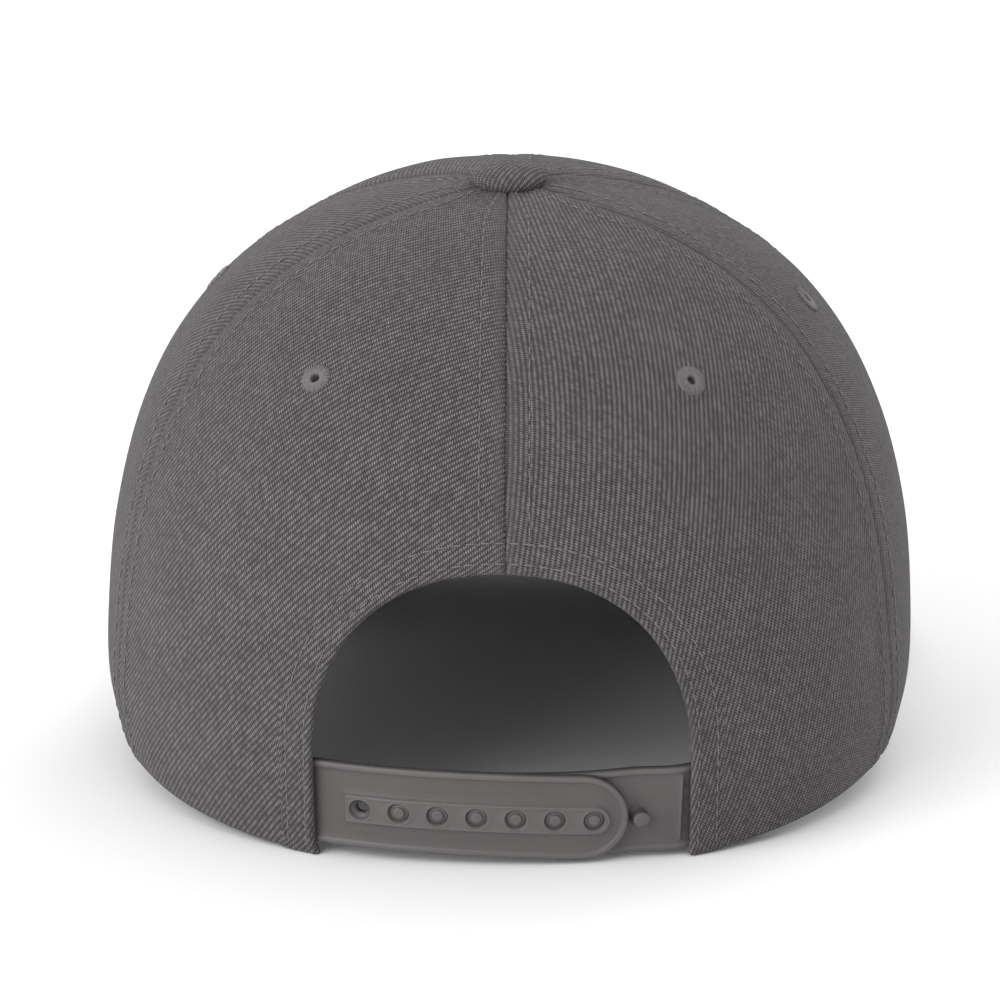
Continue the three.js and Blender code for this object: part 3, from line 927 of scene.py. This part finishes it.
def circle(x, y, radius, count=36):
    turn = ring_angles(count)
    return np.stack([x + radius * np.cos(turn), y + radius * np.sin(turn)], axis=-1)


def strap_frame(hand, along):
    """A strap's middle point, the line up its face and its outward normal, at distances along it."""
    height, slope, droop = STRAP_LINES[hand]
    side = ARCH_CENTRE - ARCH_HALF_WIDTH + np.asarray(along, float)
    height = height + slope * side - droop * side ** 2
    angle, share = angle_at_side(side, height), share_at_height(height)
    outward = unit(crown_normal(angle, share) * np.array([1, 1, 0]))
    vertical = np.array([0, 0, 1])
    up = vertical * math.cos(STRAP_LEAN) + outward * math.sin(STRAP_LEAN)
    normal = outward * math.cos(STRAP_LEAN) - vertical * math.sin(STRAP_LEAN)
    return mean_point(angle, share), up, normal


def strap_point(hand, along, above, lift):
    middle, up, normal = strap_frame(hand, along)
    return middle + up * np.asarray(above)[..., None] + normal * np.asarray(lift)[..., None]


def right_strap_depth(along):
    """The right strap comes out level with the left one at its end of the arch."""
    ease = smooth(along, LEFT_STRAP_END + CLEARANCE, ARCH_WIDTH)
    return UNDER_LEFT_STRAP + (LEFT_STRAP_DEPTH - UNDER_LEFT_STRAP) * ease


def strap_plate(start, end):
    plate = Plate()
    half = STRAP_HEIGHT / 2
    loops = [
        plate.loop(bar_loop(start, end, half, inset), outer, inner)
        for inset, outer, inner in STRAP_EDGE
    ]
    return plate, loops[0]


def grid_points(start, end, half, spacing=1.7):
    x, y = np.meshgrid(np.arange(start, end, spacing), np.arange(-half, half, spacing), indexing="ij")
    shifted = x + np.where(np.arange(x.shape[1]) % 2, spacing / 2, 0)[None, :]
    return np.stack([shifted.ravel(), y.ravel()], axis=-1)


def add_strap(pile, points, faces, hand, depth):
    place = strap_point(hand, points[:, 0], points[:, 1], points[:, 2] - depth)
    # The height over the plate face goes to the relief layer, which sets the plastic's painted highlight
    # and painted shade
    pile.add(place, faces, points[:, :2], np.stack([points[:, 2], np.zeros(len(points))], axis=-1))


def build_left_strap(material):
    start, end, half = -STRAP_TUCK, LEFT_STRAP_END, STRAP_HEIGHT / 2
    plate, outline = strap_plate(start, end)
    rail = FIRST_HOLE - RAIL_MARGIN, LAST_HOLE + RAIL_MARGIN, RAIL_HEIGHT / 2
    drop = np.array([0, RAIL_DROP])
    for inset, height in RAIL_EDGE:
        plate.loop(bar_loop(*rail, inset, step=0.6) - drop, height, -STRAP_WALL)
    holes = []
    centres = FIRST_HOLE + HOLE_PITCH * np.arange(HOLE_COUNT)
    for centre in centres:
        for radius, height in HOLE_MOUTH:
            plate.loop(circle(centre, -RAIL_DROP, radius), height, -STRAP_WALL)
        holes.append(plate.loop(circle(centre, -RAIL_DROP, HOLE_THROAT[0]), HOLE_THROAT[1], -STRAP_WALL))
    points = grid_points(start, end, half)

    def from_holes(places):
        return np.hypot(places[:, None, 0] - centres[None, :], places[:, 1:] + RAIL_DROP).min(axis=1)

    rail_depth = bar_depth(points + drop, *rail)
    on_rail = (rail_depth > 1.0) & (from_holes(points) > 3.1)
    on_plate = (bar_depth(points, start, end, half) > PLATE_MARGIN) & (rail_depth < -0.9)
    plate.fill(points[on_rail], RAIL_PROUD, -STRAP_WALL)
    plate.fill(points[on_plate], PLATE_FACE, -STRAP_WALL)

    def keep(middles):
        outside_holes = from_holes(middles) > HOLE_THROAT[0] * 0.99
        return (bar_depth(middles, start, end, half) > -0.01) & outside_holes

    points, faces = plate.faces(outline, holes, keep)
    pile = Pile()
    add_strap(pile, points, faces, "left", LEFT_STRAP_DEPTH)
    pile.piece("moulded_strap_left", material, "strap", ("strap_left",))


# Studs: radius and height over the left strap's outer face
STUD_IN_HOLE = (
    (2.3, -3.6), (1.7, -3.3), (1.2, -2.9), (1.18, -1.2), (1.24, -0.75), (2.2, -0.2), (2.22, 0.02),
    (1.7, 0.04), (1.4, 0.08), (1.3, 0.22), (1.28, 0.46), (1.22, 0.58), (1.08, 0.65), (0.6, 0.68),
    (0.01, 0.68),
)
FREE_STUD = (
    (2.5, -1.95), (2.1, -1.8), (1.8, -1.55), (1.62, -1.1), (1.54, -0.6), (1.54, -0.1), (1.58, 0.2),
    (1.64, 0.42), (1.64, 0.56), (1.58, 0.66), (1.42, 0.73), (0.8, 0.77), (0.01, 0.77),
)


def build_right_strap(material):
    first_stud = FIRST_HOLE + HOLE_PITCH * (HOLE_COUNT - ENGAGED_STUDS)
    start, end, half = -(ARCH_WIDTH + STRAP_TUCK), END_MARGIN - first_stud, STRAP_HEIGHT / 2
    plate, outline = strap_plate(start, end)
    points = grid_points(start, end, half)
    inside = bar_depth(points, start, end, half) > PLATE_MARGIN
    ridge = -(ARCH_WIDTH - 0.5)
    away = np.abs(points[:, 0] - ridge)
    plate.fill(points[inside & (away > 0.9)], PLATE_FACE, -STRAP_WALL)
    ridge_half = half - PLATE_MARGIN
    rise = np.linspace(-ridge_half, ridge_half, 20)
    for width, height in ((0.4, PLATE_FACE), (0.24, 0.04), (0.1, 0.12)):
        low = -ridge_half - width
        right = [(ridge - width, low)] + [(ridge + width, y) for y in [low, *rise, -low]]
        left = [(ridge - width, y) for y in [-low, *rise[::-1]]]
        plate.loop(right + left, height, -STRAP_WALL)
    points, faces = plate.faces(outline, [], lambda middles: bar_depth(middles, start, end, half) > -0.01)
    points[:, 0] *= -1
    pile = Pile()
    add_strap(pile, points, [face[::-1] for face in faces], "right", right_strap_depth(points[:, 0]))
    for stud in range(ENGAGED_STUDS + 1):
        free = stud == ENGAGED_STUDS
        along = LAST_HOLE + FREE_STUD_PITCH if free else first_stud + stud * HOLE_PITCH
        local, stud_faces = lathe(FREE_STUD if free else STUD_IN_HOLE, 32)
        middle, up, normal = strap_frame("left", along)
        across = local[..., :1] * (1.1 if free else 1.0)
        above, outwards = local[..., 1:2] - RAIL_DROP, local[..., 2:] - LEFT_STRAP_DEPTH
        place = middle + across * np.cross(up, normal) + above * up + outwards * normal
        pile.add(place, stud_faces, local[..., :2], np.stack([local[..., 2], local[..., 2] * 0], axis=-1))
    pile.piece("moulded_strap_right", material, "strap", ("strap_right",))


# Sweatband

def build_sweatband(material, thread):
    reach = ARCH_HALF_WIDTH + ARCH_CENTRE
    start = float(angle_at_side(reach + BAND_SET_BACK, BAND_LIFT))
    tuck_end = float(angle_at_side(reach + STRAP_TUCK + 2 * CLEARANCE, BAND_LIFT))
    beside_straps = LEFT_STRAP_DEPTH + STRAP_WALL + 2 * CLEARANCE
    against_cloth = CLOTH_WALL + CLEARANCE

    def depth_at(angle):
        from_arch = np.minimum(angle, 2 * math.pi - angle)
        ease = smooth(from_arch, tuck_end, tuck_end + math.radians(12))
        return beside_straps + (against_cloth - beside_straps) * ease

    angles = np.linspace(start, 2 * math.pi - start, 361)
    half = BAND_WALL / 2
    turn = half_turn(7)
    low, high = BAND_LIFT + half, BAND_HEIGHT - half
    rise = np.linspace(low, high, 24)
    edge = half * np.sin(turn)
    heights = np.concatenate([rise[::-1], low - edge, rise, high + edge])
    inner = np.concatenate([
        np.zeros(24), half * (1 - np.cos(turn)), np.full(24, BAND_WALL), half * (1 + np.cos(turn)),
    ])
    angle_grid = np.broadcast_to(angles, (len(heights), len(angles)))
    share = np.broadcast_to(share_at_height(heights)[:, None], angle_grid.shape)
    puff = 0.12 * np.sin(angles * 90)[None, :] * bell(heights[:, None], 27, 3)
    lift = -depth_at(angle_grid) - np.broadcast_to(inner[:, None], angle_grid.shape) + puff
    points = smooth_point(angle_grid, share, lift)
    faces = grid_faces(*angle_grid.shape, around_rows=True)
    count, columns = angle_grid.shape
    first = [row * columns for row in range(count)]
    faces = faces.tolist() + [first, [point + columns - 1 for point in reversed(first)]]
    run = rows_length(points)
    uvs = np.stack([run, np.broadcast_to((heights + inner)[:, None], run.shape)], axis=-1)
    add_piece("cloth_sweatband", points, faces, material, ("sweatband",), {"cloth": uvs})
    pile = Pile()
    for height in (BAND_LIFT + 2.4, BAND_HEIGHT - 2.4):
        line = np.linspace(start + 0.02, 2 * math.pi - start - 0.02, 900)
        share = np.full_like(line, share_at_height(height))
        path = smooth_point(line, share, -depth_at(line) - BAND_WALL - 0.02)
        add_stitches(pile, path, -crown_normal(line, share))
    pile.piece("stitches_sweatband", thread, "band")


# Materials

class Value:
    """A node's output, which takes part in sums as a number does."""

    def __init__(self, nodes, socket):
        self.nodes, self.socket = nodes, socket

    def __add__(self, other):
        return self.nodes.math("ADD", self, other)

    def __sub__(self, other):
        return self.nodes.math("SUBTRACT", self, other)

    def __rsub__(self, other):
        return self.nodes.math("SUBTRACT", other, self)

    def __mul__(self, other):
        return self.nodes.math("MULTIPLY", self, other)

    def __truediv__(self, other):
        return self.nodes.math("DIVIDE", self, other)

    def __pow__(self, other):
        return self.nodes.math("POWER", self, other)


class Nodes:
    """Short calls for a material's node tree."""

    def __init__(self, name):
        self.material = bpy.data.materials.new(name)
        self.material.use_nodes = True
        self.tree = self.material.node_tree
        self.shader = self.tree.nodes["Principled BSDF"]

    def add(self, kind, **inputs):
        """A node of a kind, with values or links for the inputs that are named."""
        node = self.tree.nodes.new("ShaderNode" + kind)
        for name, value in inputs.items():
            self.link(value, node.inputs[name])
        return node

    def link(self, value, socket):
        if isinstance(value, Value):
            self.tree.links.new(value.socket, socket)
        else:
            socket.default_value = value

    def math(self, operation, *values):
        node = self.add("Math")
        node.operation = operation
        for value, socket in zip(values, node.inputs):
            self.link(value, socket)
        return Value(self, node.outputs[0])

    def uv(self, layer):
        """A UV layer's two coordinates, and both as a vector."""
        node = self.add("UVMap")
        node.uv_map = layer
        place = Value(self, node.outputs[0])
        split = self.add("SeparateXYZ", Vector=place)
        return Value(self, split.outputs[0]), Value(self, split.outputs[1]), place

    def point(self):
        return Value(self, self.add("TexCoord").outputs["Object"])

    def noise(self, place, scale, detail=2.0, roughness=0.5):
        node = self.add("TexNoise", Vector=place, Scale=scale, Detail=detail, Roughness=roughness)
        return Value(self, node.outputs[0])

    def white(self, x, y):
        """A random number for each pair of whole numbers."""
        place = self.add("CombineXYZ", X=x, Y=y, Z=0.0)
        node = self.add("TexWhiteNoise")
        node.noise_dimensions = "3D"
        self.tree.links.new(place.outputs[0], node.inputs["Vector"])
        return Value(self, node.outputs["Value"])

    def ramp(self, value, stops):
        node = self.add("ValToRGB")
        elements = node.color_ramp.elements
        while len(elements) < len(stops):
            elements.new(0.5)
        for element, (place, colour) in zip(elements, stops):
            element.position = place
            element.color = (*colour, 1)
        self.link(value, node.inputs[0])
        return Value(self, node.outputs[0])

    def bump(self, height, strength, distance):
        node = self.add("Bump", Strength=strength, Distance=distance, Height=height)
        return Value(self, node.outputs[0])

    def finish(self, **inputs):
        for name, value in inputs.items():
            self.link(value, self.shader.inputs[name.replace("_", " ")])
        return self.material


def grey(level, hue=(1, 1, 1)):
    """Linear colour of a tinted grey, from its brightness as a display value."""
    base = ((level / 255 + 0.055) / 1.055) ** 2.4
    return tuple(base * share for share in hue)


def twill_cloth():
    """Heathered twill: slanted ridges and valleys crossed by fine ticks, partly the weave's own pattern
    and partly painted highlight on the ridges and painted shade in the valleys.
    """
    nodes = Nodes("twill_cloth")
    x, y, place = nodes.uv("cloth")
    seam, _, _ = nodes.uv("edges")
    cos, sin = math.cos(TWILL_TURN), math.sin(TWILL_TURN)
    wander = (nodes.noise(place, 0.12, 3) - 0.5) * 0.3
    across = x * (cos / TWILL_PITCH) - y * (sin / TWILL_PITCH) + wander
    along = x * sin + y * cos
    row, in_row = nodes.math("FLOOR", across), nodes.math("FRACT", across)
    ridge = nodes.math("SINE", in_row * math.pi) ** 2.2
    phase = along * (2 * math.pi / TICK_PITCH) + (in_row * 5.6 + row * 2.3)
    tick = nodes.math("COSINE", phase) * 0.5 + 0.5
    yarn = nodes.white(row, nodes.math("FLOOR", phase * (0.5 / math.pi))) * 0.4 + 0.8
    # The ridge and valley profile sets both the bump and the colour, so the colour holds painted
    # highlight on the ridges and painted shade in the valleys
    body = ridge * yarn * (tick * 0.5 + 0.5) + (1.0 - ridge) * (tick * yarn * 0.62)
    fibre = nodes.noise(place, 3.2, 3, 0.7)
    fleck = nodes.noise(place, 1.0, 3, 0.6)
    mottle = nodes.noise(place, 0.05, 3, 0.5)

    # Beside a seam the cloth is pressed smooth, and painted shade dots darken the centre seam's valley
    # where the cloth folds into it
    pressed = nodes.math("EXPONENT", ((seam - 1.3) / 1.2) ** 2.0 * -1.0)
    body = body * (1.0 - pressed * 0.45) + pressed * 0.25
    seam_shade_dots = (nodes.math("SINE", y * 4.6) * 0.4 + 0.6) * nodes.math("LESS_THAN", seam, 0.26)
    inside = nodes.math("GREATER_THAN", seam, 80.0)
    tone = body * 0.78 + inside * 0.5 + fibre * 0.5 + fleck * 0.14 + mottle * 0.12
    levels = ((0.0, 20), (0.3, 46), (0.6, 76), (1.0, 124))
    return nodes.finish(
        Base_Color=nodes.ramp(
            tone - (seam_shade_dots * 0.35 + 0.27), [(at, grey(level, CLOTH_HUE)) for at, level in levels]),
        Roughness=fibre * 0.12 + 0.82,
        Normal=nodes.bump(body * 0.8 + fibre * 0.3, 0.8, 0.0002),
        Sheen_Weight=0.06,
        Specular_IOR_Level=0.2,
    )


def sewing_thread():
    """Lighter spun thread with a visible twist."""
    nodes = Nodes("sewing_thread")
    x, y, _ = nodes.uv("cloth")
    strand = nodes.math("SINE", nodes.math("FRACT", x * 1.9 + y * 2.1) * math.pi)
    fuzz = nodes.noise(nodes.point(), 2600, 3, 0.6)
    tone = strand * 0.5 + fuzz * 0.5
    return nodes.finish(
        Base_Color=nodes.ramp(tone, ((0.15, grey(64, CLOTH_HUE)), (0.85, grey(112, CLOTH_HUE)))),
        Roughness=fuzz * 0.2 + 0.6,
        Normal=nodes.bump(tone, 0.5, 0.00008),
        Sheen_Weight=0.1,
    )


def moulded_plastic():
    """Satin soft plastic with the fine grain of its mould, with painted highlight where it stands proud
    and painted shade down in its holes.
    """
    nodes = Nodes("moulded_plastic")
    place = nodes.point()
    height, _, _ = nodes.uv("relief")
    grain = nodes.noise(place, 2400, 2, 0.5)
    wave = nodes.noise(place, 60, 2, 0.5)
    # Painted highlight on the bead, rail and stud heads and painted shade in the holes, set by each
    # point's height over the plate face
    levels = ((0.1, 0.0), (0.4, 0.35), (0.47, 0.4), (0.6, 0.62), (0.9, 0.5), (0.94, 0.7))
    proud_highlight_hollow_shade = nodes.ramp(height * 0.5 + 0.5, [(at, (level,) * 3) for at, level in levels])
    tone = grain * 0.3 + wave * 0.3 + (proud_highlight_hollow_shade - 0.3)
    return nodes.finish(
        Base_Color=nodes.ramp(tone, ((0.0, grey(60, STRAP_HUE)), (1.0, grey(98, STRAP_HUE)))),
        Roughness=grain * 0.16 + 0.42,
        Normal=nodes.bump(grain, 0.3, 0.00003),
        Specular_IOR_Level=0.4,
    )


def band_cloth():
    """Plain-woven cloth of the sweatband."""
    nodes = Nodes("band_cloth")
    x, y, place = nodes.uv("cloth")
    warp, weft = (nodes.math("SINE", run * (math.pi / 0.4)) for run in (x, y))
    fibre = nodes.noise(place, 2.2, 4, 0.6)
    tone = (warp * weft * 0.5 + 0.5) * 0.5 + fibre * 0.5
    return nodes.finish(
        Base_Color=nodes.ramp(tone, ((0.1, grey(76)), (0.9, grey(122)))),
        Roughness=fibre * 0.1 + 0.84,
        Normal=nodes.bump(tone, 0.6, 0.00015),
        Sheen_Weight=0.1,
    )


def floor_paper():
    nodes = Nodes("floor_paper")
    fine = nodes.noise(nodes.point(), 30, 2, 0.5)
    return nodes.finish(
        Base_Color=nodes.ramp(fine, ((0.0, (0.93,) * 3), (1.0, (0.95,) * 3))),
        Roughness=0.9,
        Normal=nodes.bump(fine, 0.02, 0.0005),
        Specular_IOR_Level=0.1,
    )


# Everything on the cap

random = np.random.default_rng(7)
twill, thread, plastic, plain = twill_cloth(), sewing_thread(), moulded_plastic(), band_cloth()
PANELS = (
    ("back", "left", -SIDE_SEAM, BACK_SEAM, -34.7, (SIDE_DIP, SEAM_DIP)),
    ("back", "right", BACK_SEAM, SIDE_SEAM, 36.6, (SEAM_DIP, SIDE_DIP)),
    ("side", "left", -FRONT_SEAM, -SIDE_SEAM, -97, (SIDE_DIP, SIDE_DIP)),
    ("side", "right", SIDE_SEAM, FRONT_SEAM, 88, (SIDE_DIP, SIDE_DIP)),
    ("front", "left", -math.pi, -FRONT_SEAM, -149, (FRONT_DIP, SIDE_DIP)),
    ("front", "right", FRONT_SEAM, math.pi, 149, (SIDE_DIP, FRONT_DIP)),
)
for part, hand, start, end, eyelet_angle, dips in PANELS:
    build_panel(hand, part, start, end, math.radians(eyelet_angle), twill, dips)
    build_eyelet(f"eyelet_{part}_{hand}", math.radians(eyelet_angle), thread, random)
build_arch_band(twill)
build_crown_stitches(thread)
build_button(twill)
build_peak(twill, thread)
build_left_strap(plastic)
build_right_strap(plastic)
build_sweatband(plain, thread)


# Floor, light and camera

def add_floor(half=6):
    mesh = bpy.data.meshes.new("floor")
    corners = [(-half, -half, 0), (half, -half, 0), (half, half, 0), (-half, half, 0)]
    mesh.from_pydata(corners, [], [(0, 1, 2, 3)])
    mesh.materials.append(floor_paper())
    floor = bpy.data.objects.new("floor", mesh)
    bpy.context.scene.collection.objects.link(floor)


def add_light(name, place, size, power):
    """A square light that looks at the cap."""
    light = bpy.data.lights.new(name, "AREA")
    light.shape = "SQUARE"
    light.size = size
    light.energy = power
    lamp = bpy.data.objects.new(name, light)
    lamp.location = place
    lamp.rotation_euler = (Vector((0, 0, 0.05)) - Vector(place)).to_track_quat("-Z", "Y").to_euler()
    bpy.context.scene.collection.objects.link(lamp)


def add_camera():
    azimuth, elevation, distance = math.radians(1.75), math.radians(14.3), 1.25
    target = Vector((0, (2.94 + MOVE[1]) * MM, (50.11 + MOVE[2]) * MM))
    away = Vector((
        math.sin(azimuth) * math.cos(elevation),
        -math.cos(azimuth) * math.cos(elevation),
        math.sin(elevation),
    ))
    camera = bpy.data.objects.new("camera", bpy.data.cameras.new("camera"))
    camera.data.lens = 197.1
    camera.data.sensor_width = 36
    camera.data.shift_x = -0.0103
    camera.data.shift_y = -0.0125
    camera.location = target + away * distance
    camera.rotation_euler = (-away).to_track_quat("-Z", "Y").to_euler()
    bpy.context.scene.collection.objects.link(camera)
    bpy.context.scene.camera = camera


add_floor()
add_light("key", (-1.7, -2.0, 1.05), 2.2, 62)
add_light("back", (0.9, 1.6, 1.5), 1.4, 14)
world = bpy.data.worlds.new("studio")
world.use_nodes = True
background = world.node_tree.nodes["Background"].inputs
background["Color"].default_value = (1, 1, 1, 1)
background["Strength"].default_value = 0.95
bpy.context.scene.world = world
bpy.context.scene.view_settings.view_transform = "Standard"
add_camera()
